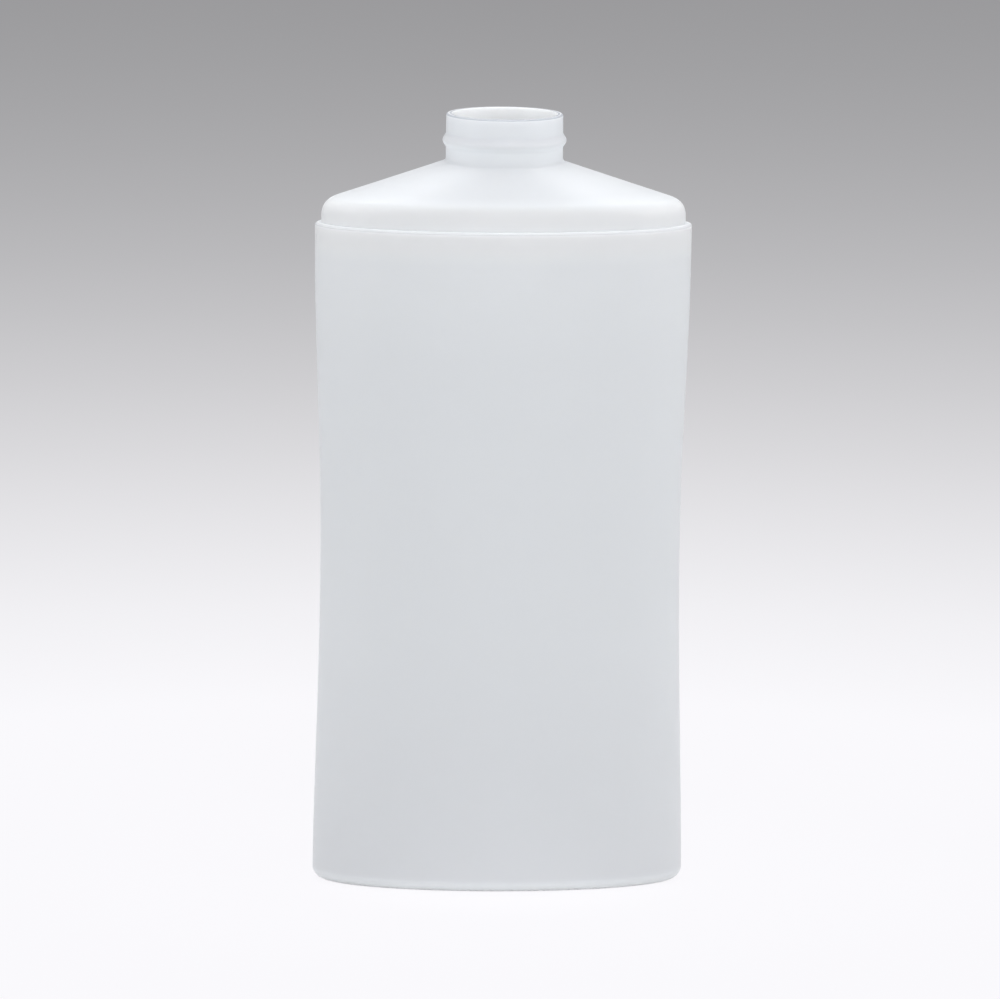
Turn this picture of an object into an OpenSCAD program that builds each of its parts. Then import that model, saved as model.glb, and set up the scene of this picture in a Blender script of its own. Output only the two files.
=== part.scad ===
// A blow-moulded plastic bottle with a flat oval body and a short snap neck, empty and open.
// It stands on z = 0, with its middle on the Z axis, its width along X and its front towards -Y.
// Every level of the body is an oval, so the skin is a stack of oval rings, and the neck is turned.

/* [Body] */
// Width of the body at the ledge
body_w = 88; // [72:1:110]
// Width of the body at the base
base_w = 86.9; // [72:0.1:110]
// Depth of the body, from front to back
body_d = 40; // [35:1:56]
// Height of the body, from the surface it stands on up to the ledge
body_h = 155.4; // [110:0.2:200]
// How far each side is drawn in at the waist
waist_in = 1.6; // [0:0.1:4]
// Height of the waist, where the body is drawn in most
waist_z = 82; // [50:1:100]
// Radius of the rounded edge of the ledge
ledge_r = 0.6; // [0.2:0.1:0.8]
// Thickness of the blown wall and floor
wall = 1; // [0.6:0.1:1.4]

/* [Base] */
// Radius that rounds the bottle's lower edge
base_r = 3; // [2:0.5:6]
// Width of the flat rim that the bottle stands on
foot_w = 2.5; // [1.5:0.5:5]
// Distance over which the base rises from that rim to its middle
push_run = 6; // [3:0.5:8]
// How far the middle of the base is pushed up
push_up = 2; // [1:0.25:3]

/* [Shoulder] */
// How far the shoulder stands in from the body, all round the ledge
ledge_w = 1.5; // [1:0.1:2.5]
// Height of the upright band above the ledge
band_h = 5.1; // [4:0.1:10]
// Height of the slope, from the top of the band to the foot of the neck
slope_h = 9.4; // [7:0.2:16]
// Radius that rounds the band over into the slope, at the two ends
shoulder_r = 4.8; // [2:0.2:5]

/* [Neck] */
// Outer diameter of the neck
neck_d = 27.2; // [24:0.2:30]
// Height of the neck, from the slope up to the rim
neck_h = 11.1; // [10:0.1:18]
// Thickness of the neck's wall, round the mouth
neck_wall = 1.5; // [1:0.1:2.5]
// Radius that blends the slope into the neck, at the two ends
root_r = 1.3; // [0.8:0.1:1.6]
// Radius of the rim's outer edge
rim_r = 0.4; // [0.1:0.1:0.6]
// Bevel of the rim's inner edge
rim_bevel = 0.3; // [0.1:0.1:0.5]

/* [Bead] */
// How far the bead that a push-on cap catches on stands out of the neck
bead_out = 0.8; // [0.3:0.1:1.5]
// Height of the bead, from one foot to the other
bead_h = 3.8; // [2:0.2:5]
// Distance from the rim down to the middle of the bead
bead_drop = 6.2; // [4:0.1:7]

/* [Hidden] */

half_w = body_w / 2;
half_d = body_d / 2;
neck_r = neck_d / 2;
mouth_r = neck_r - neck_wall;

// Levels, from the ledge up to the rim. The band ends at band_z, and the slope at root_z.
ledge_z = body_h;
band_z = ledge_z + band_h;
root_z = band_z + slope_h;
rim_z = root_z + neck_h;

// The slope's run, length and angle at the two ends, where it goes from the band in to the neck
slope_run = half_w - ledge_w - neck_r;
slope_l = norm([slope_run, slope_h]);
slope_a = atan(slope_h / slope_run);
// A blend of radius r leaves the corner between an upright and the slope at this distance
function blend_reach(r) = r * tan((90 - slope_a) / 2);
// A wall of thickness t stays even under the slope when its corners move in and down by this much
function slope_inset(t) = t / (sin(slope_a) + cos(slope_a));

// Points round each ring, and steps along each stretch
around = 64;
side_steps = 10;
blend_steps = 4;
arc_steps = 4;

// How slowly the waist's curve leaves the base, and how slowly it leaves the ledge
ease_low = 1.75;
ease_high = 2.8;
function waist_bump(t, ease) = waist_in * pow(max(0, 1 - t * t), ease);
function waist(z) = z < waist_z
    ? waist_bump(1 - z / waist_z, ease_low)
    : waist_bump((z - waist_z) / (ledge_z - waist_z), ease_high);

// Half the body's width at a height
function side_x(z) = (base_w + (body_w - base_w) * z / ledge_z) / 2 - waist(z);

// A ring is [half width, half depth, height]. This one lies a distance in from the body's side.
function ring(inset, z) = [side_x(z) - inset, half_d - inset, z];

// Rings on an arc whose centre lies a distance in from the side. Angle 0 points outwards and 90 points up.
function arc_of_rings(inset, z, r, from, to) =
    r > 0
    ? [for (i = [0 : arc_steps]) let (a = from + (to - from) * i / arc_steps)
        ring(inset - r * cos(a), z + r * sin(a))]
    : [ring(inset, z)];

// Rings along a curve that rounds the corner b between a and c
function blend(a, b, c) = [for (i = [0 : blend_steps]) let (t = i / blend_steps)
    (1 - t) * (1 - t) * a + 2 * t * (1 - t) * b + t * t * c];
function along(a, b, t) = a + (b - a) * t;

// The skin at a depth t below the outer surface, so 0 is the outside and wall is the inside.
// The base: its raised middle, and the rise down to the flat rim
function base_skin(t) = [for (i = [0 : arc_steps]) let (u = i / arc_steps)
    ring(base_r + foot_w + push_run * (1 - u), t + push_up * (1 + cos(180 * u)) / 2)];
// The lower edge and the side, up to the ledge
function side_skin(t) =
    let (low = base_r, high = ledge_z - max(ledge_r, t))
    concat(
        arc_of_rings(base_r, base_r, base_r - t, -90, 0),
        [for (i = [1 : side_steps - 1]) ring(t, low + (high - low) * i / side_steps)],
        arc_of_rings(max(ledge_r, t), high, max(ledge_r, t) - t, 0, 90));
// The band's lower corner and the band
function band_skin(t) = arc_of_rings(ledge_w, ledge_z, t, 270, 180);
// The corner over the band and the far end of the slope at the neck
function band_corner(t) = [half_w - ledge_w - t, half_d - ledge_w - t, band_z - slope_inset(t)];
function root_corner(t) = [neck_r - slope_inset(t), neck_r - slope_inset(t), root_z - slope_inset(t)];
// The shoulder: rounded out of the band, then straight to the neck
function shoulder_skin(t) =
    let (reach = blend_reach(shoulder_r - t), a = band_corner(t), b = root_corner(t))
    concat(
        blend(a - [0, 0, reach], a, along(a, b, reach / slope_l)),
        [along(a, b, 1 / 3), along(a, b, 2 / 3)]);

// The outside ends in the blend to the neck, a hair wider than the neck that rises out of it
seam = 0.02;
collar_r = (neck_r + seam) / cos(180 / around);
function outer_rings() =
    let (reach = blend_reach(root_r), a = band_corner(0), b = root_corner(0))
    concat(
        base_skin(0), side_skin(0), band_skin(0), shoulder_skin(0),
        blend(along(b, a, reach / slope_l), b, [collar_r, collar_r, root_z + reach]));
// The inside ends within the mouth
function inner_rings() =
    concat(
        base_skin(wall), side_skin(wall), band_skin(wall), shoulder_skin(wall),
        [root_corner(wall), [mouth_r - wall / 2, mouth_r - wall / 2, root_z]]);

// A closed solid over a stack of rings
module stack_of_rings(rings) {
    count = len(rings);
    points = [for (r = rings) for (i = [0 : around - 1]) let (a = 360 * i / around)
        [r[0] * cos(a), r[1] * sin(a), r[2]]];
    sides = [for (k = [0 : count - 2]) for (i = [0 : around - 1])
        let (low = k * around, high = low + around, next = (i + 1) % around)
        each [[low + i, high + i, high + next], [low + i, high + next, low + next]]];
    floor_cap = [for (i = [0 : around - 1]) i];
    top_cap = [for (i = [around - 1 : -1 : 0]) (count - 1) * around + i];
    polyhedron(points, concat([floor_cap, top_cap], sides), convexity = 8);
}

// The neck's outline: a plain wall with the bead on it, and an eased rim
bead_steps = 12;
rim_steps = 4;
module neck() {
    bead_z = rim_z - bead_drop;
    bead = [for (i = [0 : bead_steps]) let (u = 2 * i / bead_steps - 1)
        [neck_r + bead_out * (1 + cos(180 * u)) / 2, bead_z + u * bead_h / 2]];
    rim = [for (i = [0 : rim_steps]) let (a = 90 * i / rim_steps)
        [neck_r - rim_r + rim_r * cos(a), rim_z - rim_r + rim_r * sin(a)]];
    rotate_extrude($fn = 96)
        polygon(concat([[0, root_z], [neck_r, root_z]], bead, rim, [[0, rim_z]]));
}

// The mouth's bore, from the cavity up through the neck, with its bevelled rim
module mouth() {
    bore_foot_z = root_z - 2 * wall;
    translate([0, 0, bore_foot_z])
        cylinder(r = mouth_r, h = rim_z - bore_foot_z + wall, $fn = 96);
    translate([0, 0, rim_z - rim_bevel])
        cylinder(r1 = mouth_r, r2 = mouth_r + 2 * rim_bevel, h = 2 * rim_bevel, $fn = 96);
}

module bottle() {
    color([0.85, 0.87, 0.89])
        difference() {
            union() {
                stack_of_rings(outer_rings());
                neck();
            }
            stack_of_rings(inner_rings());
            mouth();
        }
}

bottle();
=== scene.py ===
# %% [markdown]
# # A blow-moulded bottle of milky plastic
# An empty bottle stands open on a pale floor. Its body is a flat oval that draws in a little at the
# waist. A ledge, an upright band and a slope lead up to a short round neck, with one bead for a cap
# to catch on. A machine makes such a bottle from a soft tube of plastic, which air presses against
# the two halves of a mould. So it is one thin skin.
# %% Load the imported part, which stays as it is
import math

import bmesh
import bpy
from mathutils import Matrix, Vector


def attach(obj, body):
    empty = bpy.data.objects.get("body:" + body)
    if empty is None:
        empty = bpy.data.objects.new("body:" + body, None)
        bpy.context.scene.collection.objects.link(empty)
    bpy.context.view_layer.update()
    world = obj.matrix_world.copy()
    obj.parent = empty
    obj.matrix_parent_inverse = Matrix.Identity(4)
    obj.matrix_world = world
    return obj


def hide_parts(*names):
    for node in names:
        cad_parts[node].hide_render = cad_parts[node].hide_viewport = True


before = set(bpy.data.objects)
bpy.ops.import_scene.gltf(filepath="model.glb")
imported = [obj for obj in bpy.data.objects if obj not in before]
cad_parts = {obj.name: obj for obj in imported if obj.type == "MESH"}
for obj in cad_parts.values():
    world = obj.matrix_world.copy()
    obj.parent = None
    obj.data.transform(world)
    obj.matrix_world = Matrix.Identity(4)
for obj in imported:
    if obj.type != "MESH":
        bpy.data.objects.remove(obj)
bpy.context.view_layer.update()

# %% [markdown]
# ## The sizes
# The part's source holds these same sizes, in millimetres, all but the two of the mould's parting
# line, which only the looks have. Blender works in metres, so one factor turns them over. Writing
# them down once, by name, is what lets the looks follow the solid.
# %% Sizes of the bottle, in millimetres
MM = 0.001
BODY_W, BASE_W, BODY_D, LEDGE_Z = 88, 86.9, 40, 155.4
WAIST_IN, WAIST_Z, EASE_LOW, EASE_HIGH = 1.6, 82, 1.75, 2.8
WALL, BASE_R, LEDGE_R = 1, 3, 0.6
FOOT_W, PUSH_RUN, PUSH_UP = 2.5, 6, 2
LEDGE_W, BAND_H, SLOPE_H, SHOULDER_R = 1.5, 5.1, 9.4, 4.8
NECK_R, NECK_WALL, NECK_H, ROOT_R = 13.6, 1.5, 11.1, 1.3
RIM_R, RIM_BEVEL = 0.4, 0.3
BEAD_OUT, BEAD_H, BEAD_DROP = 0.8, 3.8, 6.2
LINE_W, LINE_UP = 0.16, 0.06
BAND_Z = LEDGE_Z + BAND_H
ROOT_Z = BAND_Z + SLOPE_H
RIM_Z = ROOT_Z + NECK_H
BEAD_Z = RIM_Z - BEAD_DROP
MOUTH_R = NECK_R - NECK_WALL
print("levels: ledge", LEDGE_Z, "band", BAND_Z, "neck", ROOT_Z, "rim", RIM_Z)

# %% [markdown]
# ## The oval at each height
# Cut the bottle level anywhere and the cut is an oval, or a circle in the neck. So three numbers
# describe a level: half its width, half its depth and its height. The two ends draw in towards the
# waist on a smooth curve, and the broad front and back stay upright. Both ends also stand in by the
# height of the parting line, which is raised on them later and so reaches no further than the solid.
# %% A level of the body, a given distance in from its side
def waist(z):
    if z < WAIST_Z:
        t, ease = 1 - z / WAIST_Z, EASE_LOW
    else:
        t, ease = (z - WAIST_Z) / (LEDGE_Z - WAIST_Z), EASE_HIGH
    return WAIST_IN * max(0, 1 - t * t) ** ease


def level(inset, z):
    half_width = (BASE_W + (BODY_W - BASE_W) * z / LEDGE_Z) / 2 - waist(z) - LINE_UP
    return (half_width - inset, BODY_D / 2 - inset, z)


def round_circle(r, z):
    return (r, r, z)


def steps(first, last, count):
    """Evenly spaced numbers from first to last, both included."""
    return [first + (last - first) * i / count for i in range(count + 1)]


def wave(u):
    """A soft bump over u from -1 to 1: 1 in the middle, and 0 at both ends."""
    return (1 + math.cos(math.pi * u)) / 2


BASE_STEPS, EDGE_STEPS, SIDE_STEPS, BAND_STEPS, SLOPE_STEPS = 10, 10, 36, 6, 10
CORNER_STEPS, BEAD_STEPS, RIM_STEPS, MOUTH_STEPS = 8, 20, 6, 6
print("waist:", [round(c, 2) for c in level(0, WAIST_Z)], "ledge:", level(0, LEDGE_Z))

# %% [markdown]
# Two ways of rounding come back several times. An edge that a mould cuts as a quarter round is an
# arc of levels. A corner between two slopes, as at the shoulder's end, is a smooth curve that
# starts and ends along both of them.
# %% An arc of levels, and a rounded corner
def arc(inset, z, r, first, last, count=CORNER_STEPS):
    """Levels on an arc about a centre that lies inset from the side. Angle 0 points outwards and 90 up."""
    angles = [math.radians(a) for a in steps(first, last, count)]
    return [level(inset - r * math.cos(a), z + r * math.sin(a)) for a in angles]


def between(a, b, share):
    return tuple(p + (q - p) * share for p, q in zip(a, b))


def corner(a, b, c, count=CORNER_STEPS):
    """Levels on a curve that rounds the corner b between a and c."""
    return [between(between(a, b, t), between(b, c, t), t) for t in steps(0, 1, count)]


print("an arc and a rounded corner have", CORNER_STEPS + 1, "levels, unless told otherwise")

# %% [markdown]
# ## The skin, outside and inside
# The wall is the gap between an outer skin and an inner one. Both follow the same path, and the
# inner one lies a wall's thickness further in. So one set of functions, given a depth t, describes
# both skins: 0 is the outside.
# %% The skin from the pushed-up base to the foot of the neck
SLOPE_RUN = BODY_W / 2 - LEDGE_W - NECK_R
SLOPE_L = math.hypot(SLOPE_RUN, SLOPE_H)
SLOPE_A = math.atan2(SLOPE_H, SLOPE_RUN)
# The slope's own levels end at this share of it, just short of the blend into the neck
SLOPE_END = 0.9


def blend_reach(r):
    return r * math.tan((math.pi / 2 - SLOPE_A) / 2)


def slope_inset(t):
    return t / (math.sin(SLOPE_A) + math.cos(SLOPE_A))


def base_skin(t):
    foot = BASE_R + FOOT_W
    turns = steps(0, 1, BASE_STEPS)
    return [level(foot + PUSH_RUN * (1 - u), t + PUSH_UP * wave(u)) for u in turns]


def side_skin(t):
    r = max(LEDGE_R, t)
    side = [level(t, z) for z in steps(BASE_R, LEDGE_Z - r, SIDE_STEPS)[1:-1]]
    top = arc(r, LEDGE_Z - r, r - t, 0, 90) if r > t else [level(t, LEDGE_Z - r)]
    return arc(BASE_R, BASE_R, BASE_R - t, -90, 0, EDGE_STEPS) + side + top


def band_corner(t):
    return (BODY_W / 2 - LEDGE_W - t, BODY_D / 2 - LEDGE_W - t, BAND_Z - slope_inset(t))


def root_corner(t):
    return (NECK_R - slope_inset(t), NECK_R - slope_inset(t), ROOT_Z - slope_inset(t))


def shoulder_skin(t):
    """The band over the ledge, and the slope that leads from it to the neck."""
    reach = blend_reach(SHOULDER_R - t)
    high, root = band_corner(t), root_corner(t)
    low = (high[0], high[1], high[2] - reach)
    band = arc(LEDGE_W, LEDGE_Z, t, 270, 180, BAND_STEPS) if t else [low[:2] + (LEDGE_Z,)]
    shares = steps(reach / SLOPE_L, SLOPE_END, SLOPE_STEPS)
    slope = [between(high, root, share) for share in shares]
    return band + corner(low, high, slope[0]) + slope[1:]


print("the outer skin has", len(base_skin(0) + side_skin(0) + shoulder_skin(0)), "levels")

# %% [markdown]
# ## The neck
# The neck is round. The bead is a soft wave on a plain wall, because a sharp one would tear when
# the mould opens and would stop a cap from slipping over it. A blade trims the rim flat, and its
# edges are eased.
# %% The levels of the neck, from the slope up to the rim and down the mouth
def neck_skin():
    reach = blend_reach(ROOT_R)
    foot = round_circle(NECK_R, ROOT_Z)
    slope_end = between(foot, band_corner(0), reach / SLOPE_L)
    root = corner(slope_end, foot, round_circle(NECK_R, ROOT_Z + reach))
    turns = steps(-1, 1, BEAD_STEPS)
    bead = [round_circle(NECK_R + BEAD_OUT * wave(u), BEAD_Z + u * BEAD_H / 2) for u in turns]
    return root + bead


def rim_skin():
    turns = [math.radians(a) for a in steps(0, 90, RIM_STEPS)]
    edge_r, edge_z = NECK_R - RIM_R, RIM_Z - RIM_R
    edge = [round_circle(edge_r + RIM_R * math.cos(a), edge_z + RIM_R * math.sin(a)) for a in turns]
    lip_r, lip_z = MOUTH_R + RIM_BEVEL, RIM_Z - RIM_BEVEL
    lip = [round_circle(lip_r - RIM_BEVEL * math.sin(a), lip_z + RIM_BEVEL * math.cos(a)) for a in turns]
    return edge + lip


def mouth_skin():
    """The mouth's bore, down to where it opens out into the shoulder."""
    start, bend = ROOT_Z + 0.3, ROOT_Z - 0.4
    ends = round_circle(MOUTH_R, start), round_circle(MOUTH_R, bend)
    return corner(*ends, root_corner(WALL), MOUTH_STEPS)


print("the neck has", len(neck_skin() + rim_skin() + mouth_skin()), "levels")

# %% [markdown]
# ## Growing the skin
# A modeller starts such a shell from one edge loop, and grows it. Each extrusion lifts the loop to
# the next level, and scaling then gives it that level's oval. The first loop lies round the weld
# under the base, where the mould nipped the tube of soft plastic shut. A spin can't make the body,
# because it isn't round.
# %% A loop of edges, and how it grows
COLUMNS = 128
WELD_HALF, WELD_UP = 25, 0.45
WELD = [
    (WELD_HALF - 0.5, 0.3, PUSH_UP - WELD_UP),
    (WELD_HALF - 0.2, 0.5, PUSH_UP - WELD_UP * 0.8),
    (WELD_HALF, 0.8, PUSH_UP),
]


def start_loop(name, first):
    """Adds a circle, makes it the first level's oval, and leaves it selected in edit mode."""
    bpy.ops.object.select_all(action="DESELECT")
    place = (0, 0, first[2] * MM)
    bpy.ops.mesh.primitive_circle_add(vertices=COLUMNS, radius=first[0] * MM, location=place)
    bpy.context.object.name = name
    bpy.ops.object.transform_apply(location=True, rotation=True, scale=True)
    bpy.ops.object.mode_set(mode="EDIT")
    bpy.ops.mesh.select_mode(type="EDGE")
    bpy.ops.mesh.select_all(action="SELECT")
    bpy.ops.transform.resize(value=(1, first[1] / first[0], 1), center_override=place)
    return bpy.context.object, first


def grow(last, levels):
    """Extrudes the selected loop to each level in turn, and scales it to that level's oval."""
    for one in levels:
        rise = (0, 0, (one[2] - last[2]) * MM)
        bpy.ops.mesh.extrude_region_move(TRANSFORM_OT_translate={"value": rise})
        size = (one[0] / last[0], one[1] / last[1], 1)
        bpy.ops.transform.resize(value=size, center_override=(0, 0, one[2] * MM))
        last = one
    return last


print("a loop has", COLUMNS, "points, and the weld is", 2 * WELD_HALF, "mm long")

# %% Grow the outside, from the weld under the base up to the foot of the rim's edge
bottle, here = start_loop("milky_bottle", WELD[0])
here = grow(here, WELD[1:] + base_skin(0) + side_skin(0) + shoulder_skin(0) + neck_skin())
here = grow(here, rim_skin()[:1])
bpy.ops.object.mode_set(mode="OBJECT")
print("outside:", len(bottle.data.vertices), "points, up to", round(here[2], 1), "mm")

# %% [markdown]
# ## The parting line
# The two halves of the mould meet at both ends of the oval, and a little plastic creeps in between
# them. It leaves a fine raised line from the weld to the rim. Beveling that column of edges gives
# it a strip of its own, and fattening the strip's middle raises it by less than a tenth of a
# millimetre.
# %% A fine raised line up both ends
def pick(kind, test):
    """Selects the points, edges or faces that pass a test, and nothing else."""
    bpy.ops.mesh.select_mode(type={"verts": "VERT", "edges": "EDGE", "faces": "FACE"}[kind])
    bpy.ops.mesh.select_all(action="DESELECT")
    shell = bmesh.from_edit_mesh(bpy.context.object.data)
    found = [e for e in getattr(shell, kind) if test(e)]
    for e in found:
        e.select_set(True)
    bmesh.update_edit_mesh(bpy.context.object.data)
    return len(found)


# A thousandth of a millimetre, in metres, below which two places count as one
HAIR = 1e-6


def on_line(point):
    x, y, z = point.co
    return abs(y) < HAIR and z > BASE_R / 2 * MM and abs(x) > MOUTH_R * MM


bpy.ops.object.mode_set(mode="EDIT")
found = pick("edges", lambda e: all(on_line(v) for v in e.verts))
bpy.ops.mesh.bevel(offset=LINE_W * MM, segments=2, affect="EDGES")
raised = pick("verts", lambda v: on_line(v) and not v.is_boundary)
bpy.ops.transform.shrink_fatten(value=LINE_UP * MM)
print("parting line:", found, "edges bevelled,", raised, "points raised")

# %% [markdown]
# ## The rim, the mouth and the inside
# The same loop now goes over the rim, down the mouth and along the inside, a wall's thickness from
# the outside. So the bottle gets a true wall, which shows in its rim and lets light through.
# %% Grow the inside, from the rim down to the floor of the cavity
pick("edges", lambda e: e.is_boundary and e.verts[0].co.z > ROOT_Z * MM)
inner = base_skin(WALL) + side_skin(WALL) + shoulder_skin(WALL)
here = grow(here, rim_skin()[1:] + mouth_skin() + inner[::-1])
# Half the width and half the depth of the last two ovals on the floor, which one face then closes
CLOSING = [(20, 4), (12, 1.5)]
here = grow(here, [(half_w, half_d, WALL + PUSH_UP) for half_w, half_d in CLOSING])
bpy.ops.mesh.edge_face_add()
print("inside: from the rim down to a floor at", here[2], "mm")

# %% Close the weld, merge doubles and point every face outwards
pick("edges", lambda e: e.is_boundary)
bpy.ops.mesh.edge_face_add()
bpy.ops.mesh.select_all(action="SELECT")
bpy.ops.mesh.remove_doubles(threshold=HAIR)
bpy.ops.mesh.normals_make_consistent(inside=False)
bpy.ops.object.mode_set(mode="OBJECT")
SHARP = math.radians(38)
bpy.ops.object.shade_smooth_by_angle(angle=SHARP)
shell = bmesh.new()
shell.from_mesh(bottle.data)
open_edges = sum(not e.is_manifold for e in shell.edges)
plastic_cm3 = shell.calc_volume() * 1e6
print("bottle:", len(shell.faces), "faces,", open_edges, "open edges,", round(plastic_cm3, 2), "cm3")
shell.free()

# %% [markdown]
# The inner skin is seen through the mouth. Its tone gets painted light, which stands in for the light
# that shines through the wall, so it is lighter than the outside's. Its points get a number of their own,
# which the material can read.
# They are the points that face the axis, or face up from the floor of the cavity.
# %% Mark the inner skin
UP_LEAN, IN_LEAN = 0.3, 0.05


def faces_inwards(point):
    if point.co.z < (PUSH_UP + 2 * WALL) * MM:
        return point.normal.z > UP_LEAN
    return point.normal.xy.dot(point.co.xy.normalized()) < -IN_LEAN


marks = [float(faces_inwards(point)) for point in bottle.data.vertices]
inner_skin = bottle.data.attributes.new("inner_skin", "FLOAT", "POINT")
inner_skin.data.foreach_set("value", marks)
print("inner skin:", int(sum(marks)), "of", len(marks), "points")

# %% [markdown]
# ## Writing a material as sums
# A procedural material is arithmetic on numbers that vary over the surface. A small class wraps one
# such number, so that a Python sum builds the Math nodes. Every other node comes from one method.
# %% A wrapped socket, and a recipe that makes nodes
class Amount:
    """One number of a material, as the socket that it comes out of."""

    def __init__(self, recipe, socket):
        self.recipe, self.socket = recipe, socket

    def sum(self, operation, a, b):
        return self.recipe.node("ShaderNodeMath", {"operation": operation}, {0: a, 1: b})

    def __add__(self, other):
        return self.sum("ADD", self, other)

    def __sub__(self, other):
        return self.sum("SUBTRACT", self, other)

    def __rsub__(self, other):
        return self.sum("SUBTRACT", other, self)

    def __mul__(self, other):
        return self.sum("MULTIPLY", self, other)

    __radd__, __rmul__ = __add__, __mul__

    def __lt__(self, other):
        return self.sum("LESS_THAN", self, other)

    def __gt__(self, other):
        return self.sum("GREATER_THAN", self, other)


class Recipe:
    """The nodes of one material, or of the world."""

    def __init__(self, owner):
        owner.use_nodes = True
        self.tree = owner.node_tree
        self.tree.nodes.clear()

    def node(self, kind, settings=None, sockets=None, out=0):
        """Adds a node, makes its settings, fills its sockets, and returns one of its outputs."""
        made = self.tree.nodes.new(kind)
        for name, value in (settings or {}).items():
            if name == "stops":
                ramp = made.color_ramp.elements
                while len(ramp) < len(value):
                    ramp.new(0.5)
                for stop, (place, colour) in zip(ramp, value):
                    stop.position, stop.color = place, colour
            else:
                setattr(made, name, value)
        for name, value in (sockets or {}).items():
            into = self.find(made.inputs, name)
            if isinstance(value, Amount):
                self.tree.links.new(value.socket, into)
            else:
                into.default_value = value
        return Amount(self, self.find(made.outputs, out)) if made.outputs else None

    def find(self, sockets, name):
        """A socket by its place, or by its name where the node's settings switch several of that name."""
        if isinstance(name, int):
            return sockets[name]
        return next(s for s in sockets if s.name == name and s.enabled)

    def shown(self, kind, shader):
        self.node(kind, {}, {"Surface": shader})


print("materials are written as sums")

# %% [markdown]
# ## Milky polyethylene
# The plastic has no dye. It scatters light inside, so it looks milky and a little cool. Subsurface
# scattering does this in a real wall of 1 mm. The mould's fine blasted grain makes the skin satin,
# and the soft tube leaves faint upright streaks as it is drawn out. The tone drifts slightly with
# the wall's thickness.
# %% The plastic's coordinates, drift, streaks and grain
plastic = bpy.data.materials.new("milky_polyethylene")
r = Recipe(plastic)
place = r.node("ShaderNodeTexCoord", out="Object")
DRIFT_FINE, STREAK_FINE, STREAK_LONG, GRAIN_FINE = 22, 420, 7, 2600
STREAK_SCALE = (STREAK_FINE, STREAK_FINE, STREAK_LONG)
drawn = r.node("ShaderNodeMapping", {}, {"Vector": place, "Scale": STREAK_SCALE})


def noise(where, fineness, detail):
    """A soft random pattern, at so many features to the metre."""
    sockets = {"Vector": where, "Scale": fineness, "Detail": detail}
    return where.recipe.node("ShaderNodeTexNoise", {}, sockets, out="Fac")


drift = noise(place, DRIFT_FINE, 2)
streaks = noise(drawn, 1, 3)
grain = noise(place, GRAIN_FINE, 2)
print("drift, streaks and grain:", DRIFT_FINE, STREAK_FINE, GRAIN_FINE, "to the metre")

# %% [markdown]
# Light that falls on the shoulder from above spreads on inside the wall, further than a short
# scattering distance carries it, and so does the light that the floor sends up into the foot. The
# base colour carries that light as painted light and shade. Painted light makes the plastic lighter
# at the very foot, round the ledge and the band, at the foot of the neck and inside the mouth.
# Painted shade makes it greyer at the bead and along the ledge's edge, where such light leaves the
# wall again. A ramp over the height, the drift, the inner skin's mark and two masks at the ledge add
# up to one share between a tone of painted shade and a tone of painted light.
# %% Painted light and shade on the plastic at each height, in millimetres, and at the places that differ
# The plastic's own tone lies between these two ends. The dark end is painted shade and the light end is
# painted light.
PAINTED_SHADE_TONE, PAINTED_LIGHT_TONE = (0.665, 0.667, 0.685, 1), (0.95, 0.98, 1.0, 1)
# Painted light at the foot, round the ledge and band and at the neck's foot, and painted shade at the
# bead.
LIGHT_AND_SHADE_BY_HEIGHT = [
    (0, 1), (BASE_R * 0.4, 0.65), (BASE_R, 0.14), (20, 0.26), (60, 0.47), (125, 0.5), (LEDGE_Z - 8, 0.65),
    (LEDGE_Z - 1.5, 1), (BAND_Z - 1.5, 1), (BAND_Z + 2.5, 0.45), (ROOT_Z - 1, 0.37), (BEAD_Z - 1, 0.72),
    (BEAD_Z, 0.28), (BEAD_Z + 1, 0.16), (BEAD_Z + 2, 0.45),
]
up = r.node("ShaderNodeSeparateXYZ", {}, {"Vector": place}, out="Z")
stops = [(z / RIM_Z, (share, share, share, 1)) for z, share in LIGHT_AND_SHADE_BY_HEIGHT]
share = r.node("ShaderNodeValToRGB", {"stops": stops}, {"Fac": up * (1 / (RIM_Z * MM))}, out="Color")
# The inner skin's mark lifts the share to the light end. This is painted light inside the mouth, for light
# that shines through the wall.
inside = r.node("ShaderNodeAttribute", {"attribute_name": "inner_skin"}, out="Fac")
LEDGE_TOP, FLAT_FOOT = LEDGE_Z + 0.05, LEDGE_Z - 0.02
DRIFT_SHARE, LEDGE_PAINTED_SHADE, FLAT_PAINTED_LIGHT = 0.08, 0.92, 0.65
# Painted shade along the ledge's rounded edge, with part of it given back as painted light on the ledge's
# flat top.
on_ledge = (up > (LEDGE_Z - LEDGE_R) * MM) * (up < LEDGE_TOP * MM)
on_flat = on_ledge * (up > FLAT_FOOT * MM)
share = share + drift * DRIFT_SHARE + inside - on_ledge * LEDGE_PAINTED_SHADE + on_flat * FLAT_PAINTED_LIGHT


def mix_colours(factor, a, b):
    """Colour a where the factor is 0, and colour b where it is 1."""
    sockets = {"Factor": factor, "A": a, "B": b}
    return factor.recipe.node("ShaderNodeMix", {"data_type": "RGBA"}, sockets, out="Result")


tone = mix_colours(share, PAINTED_SHADE_TONE, PAINTED_LIGHT_TONE)
print("the tone changes at", len(LIGHT_AND_SHADE_BY_HEIGHT), "heights, in the mouth and at the ledge")

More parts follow.
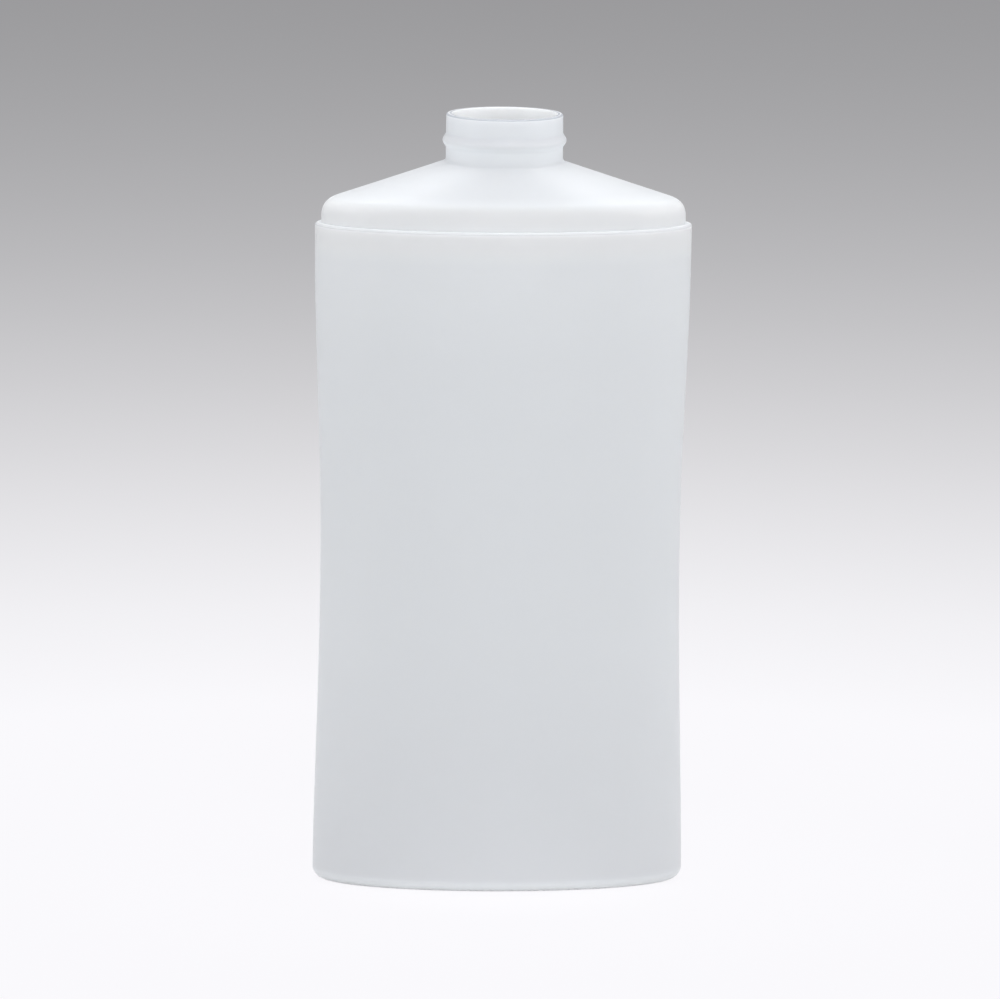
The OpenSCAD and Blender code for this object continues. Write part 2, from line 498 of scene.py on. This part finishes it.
# %% [markdown]
# The rim is where the wall is cut through. A thin ring round the mouth and the rim's outer edge take
# a bluish grey, which is painted shade along the mouth's inner edge and on the rim's rounded outer edge.
# %% The rim's two rings of painted shade
RING_W, RING_DEEP, RIM_PAINTED_SHADE = 0.5, 0.35, (0.5, 0.52, 0.56, 1)
level_only = {0: place, 1: (1, 1, 0)}
flattened = r.node("ShaderNodeVectorMath", {"operation": "MULTIPLY"}, level_only, out="Vector")
from_axis = r.node("ShaderNodeVectorMath", {"operation": "LENGTH"}, {0: flattened}, out="Value")
lip_end = MOUTH_R + RIM_BEVEL
near_mouth = (from_axis > lip_end * MM) * (from_axis < (lip_end + RING_W) * MM)
on_edge = from_axis > (NECK_R - RIM_R) * MM
# Where the two rings of painted shade lie, just under the rim's top.
rim_shade_mask = (up > (RIM_Z - RING_DEEP) * MM) * (near_mouth + on_edge)
tone = mix_colours(rim_shade_mask, tone, RIM_PAINTED_SHADE)
print("rings:", RING_W, "mm round the mouth and", RIM_R, "mm at the rim's edge")

# %% The plastic's bump, its roughness and the shader
GRAIN_DEEP, STREAK_DEEP = 0.012, 0.01
SATIN, GRAIN_DULL, STREAK_DULL = 0.34, 0.06, 0.05
height = grain * (GRAIN_DEEP * MM) + streaks * (STREAK_DEEP * MM)
bump = r.node("ShaderNodeBump", {}, {"Height": height, "Strength": 1, "Distance": 1})
skin = r.node(
    "ShaderNodeBsdfPrincipled",
    {},
    {
        "Base Color": tone,
        "Roughness": SATIN + grain * GRAIN_DULL + streaks * STREAK_DULL,
        "IOR": 1.52,
        "Subsurface Weight": 1.0,
        "Subsurface Radius": (1.0, 0.99, 0.97),
        "Subsurface Scale": 0.0018,
        "Normal": bump,
    },
)
r.shown("ShaderNodeOutputMaterial", skin)
bottle.data.materials.append(plastic)
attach(bottle, "root")
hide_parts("bottle")
print("plastic:", len(plastic.node_tree.nodes), "nodes")

# %% [markdown]
# ## The floor
# The bottle stands on a wide floor that is white round it and grey further off, on a smooth run of
# greys, which is a painted pool of light. Nine tenths of what the camera sees is that plain colour,
# and the rest is a matt floor that takes the bottle's shadow. So the shadow stays as faint as a bright
# studio makes it. The light that the floor sends up to the bottle comes from a second run of greys,
# which is lighter close by as painted light, where the bottle's own foot would darken the floor too much.
# %% The floor, white near the bottle and grey far from it
FLOOR_R, GAP = 12, 0.05 * MM
bpy.ops.object.select_all(action="DESELECT")
bpy.ops.mesh.primitive_circle_add(vertices=96, radius=FLOOR_R, fill_type="NGON", location=(0, 0, -GAP))
floor = bpy.context.object
floor.name = "floor"


def grey(level_of_255, tint):
    """The linear colour of a grey that shows as that number."""
    v = level_of_255 / 255
    v = v / 12.92 if v <= 0.04045 else ((v + 0.055) / 1.055) ** 2.4
    return (v * tint[0], v * tint[1], v * tint[2], 1)


NEAR_GREY, FAR_GREY = 253, 140
WHITE_R, FADE_R, FADE_CURVE, POOL_R = 0.24, 0.92, 1.35, 2.4


def pool_grey(reach):
    """The floor's grey at a distance of WHITE_R or more. Closer to the bottle it stays white."""
    fade = math.exp(-((reach - WHITE_R) / FADE_R) ** FADE_CURVE)
    return FAR_GREY + (NEAR_GREY - FAR_GREY) * fade


print("floor: radius", FLOOR_R, "m, and grey", round(pool_grey(POOL_R)), "at", POOL_R, "m")

# %% The floor's painted pool of light, and the light that it sends up
COOL = (1.01, 1.0, 1.03)
# A painted pool of light, white near the bottle and grey far off, which the camera sees.
POOL = [(reach, grey(pool_grey(reach), COOL)) for reach in steps(WHITE_R, POOL_R, 15)]
# The light that the floor sends up. It is painted light close to the bottle and a plain grey further off.
BOUNCE = [(0.03, (0.9, 0.9, 0.9, 1)), (0.05, (0.65, 0.65, 0.65, 1)), (0.12, (0.55, 0.55, 0.55, 1))]
PLAIN_SHARE = 0.9


def seen(recipe):
    """1 where the camera sees the surface directly, in a reflection or through glass."""
    kinds = ("Is Camera Ray", "Is Glossy Ray", "Is Transmission Ray")
    camera_ray, glossy_ray, transmission_ray = [recipe.node("ShaderNodeLightPath", out=k) for k in kinds]
    return camera_ray + glossy_ray + transmission_ray


def by_distance(away, colours):
    """A run of colours over the distance from the bottle, in metres."""
    stops = [(reach / POOL_R, colour) for reach, colour in colours]
    share = away * (1 / POOL_R)
    return away.recipe.node("ShaderNodeValToRGB", {"stops": stops}, {"Fac": share}, out="Color")


paint = bpy.data.materials.new("floor_and_painted_light_pool")
r = Recipe(paint)
place = r.node("ShaderNodeTexCoord", out="Object")
away = r.node("ShaderNodeVectorMath", {"operation": "LENGTH"}, {0: place}, out="Value")
lit = r.node("ShaderNodeBsdfDiffuse", {}, {"Color": by_distance(away, BOUNCE)})
plain = r.node("ShaderNodeEmission", {}, {"Color": by_distance(away, POOL), "Strength": 1.0})
mixed = r.node("ShaderNodeMixShader", {}, {"Fac": seen(r) * PLAIN_SHARE, 1: lit, 2: plain})
r.shown("ShaderNodeOutputMaterial", mixed)
floor.data.materials.append(paint)
print("floor paint: white out to", WHITE_R, "m,", len(paint.node_tree.nodes), "nodes")

# %% [markdown]
# ## Light
# The photograph's light is soft and even, and strongest from above. A wide lamp overhead gives the
# shoulder its two bright lobes. It hangs a little to the right and behind, so that the neck shades
# the middle of the shoulder's front. A lamp in front and a fill at either side even out the body.
# The world gives about three fifths of the light, from all round, and is plain grey behind the floor.
# %% The world
AROUND = (0.75, 0.765, 0.79, 1)
BEHIND = grey(148, (0.995, 1.0, 1.015))
world = bpy.data.worlds.new("studio")
bpy.context.scene.world = world
r = Recipe(world)
around = r.node("ShaderNodeBackground", {}, {"Color": AROUND, "Strength": 1.0})
behind = r.node("ShaderNodeBackground", {}, {"Color": BEHIND, "Strength": 1.0})
r.shown("ShaderNodeOutputWorld", r.node("ShaderNodeMixShader", {}, {"Fac": seen(r), 1: around, 2: behind}))
print("world:", AROUND[:3], "all round")


# %% The lamps
def lamp(name, place, size, watts, aim=(0, 0, 0.12)):
    """A soft rectangular lamp, which looks at a point of the bottle."""
    bpy.ops.object.light_add(type="AREA", location=place)
    made = bpy.context.object
    made.name = name
    made.data.shape = "RECTANGLE"
    made.data.size, made.data.size_y = size
    made.data.energy = watts
    made.rotation_euler = (Vector(aim) - Vector(place)).to_track_quat("-Z", "Y").to_euler()
    return made


lamp("overhead_softbox", (0.09, 0.1, 1.3), (1.2, 0.9), 5.7)
lamp("front_softbox", (0.1, -2.0, 1.4), (1.5, 1.0), 7.1)
lamp("right_fill", (1.9, -0.8, 0.7), (0.8, 0.8), 6.1)
lamp("left_fill", (-1.9, -0.8, 0.7), (0.8, 0.8), 5.8)
print("lamps: two softboxes, overhead and in front, and a fill at either side")

# %% [markdown]
# ## The camera
# The photograph was taken from far off with a long lens, from a little above the rim and slightly
# to the left. Its frame is 1000 by 999 pixels, and the bottle leans over by about half a degree in
# it, which is the camera's roll.
# %% The camera
camera_place = Vector((-0.1405, -2.371, 0.4638))
camera_aim = Vector((-0.00018, 0, 0.09))
ROLL, SENSOR, LENS, FAR = 0.6, 36, 369.75, 60
bpy.ops.object.camera_add(location=camera_place)
camera = bpy.context.object
camera.name = "camera"
turn = (camera_aim - camera_place).to_track_quat("-Z", "Y").to_matrix()
camera.rotation_euler = (turn @ Matrix.Rotation(math.radians(ROLL), 3, "Z")).to_euler()
camera.data.sensor_width = SENSOR
camera.data.lens = LENS
camera.data.clip_end = FAR
bpy.context.scene.camera = camera
bpy.context.scene.view_settings.view_transform = "Standard"
print("camera:", [round(c, 3) for c in camera.location], "lens", camera.data.lens)
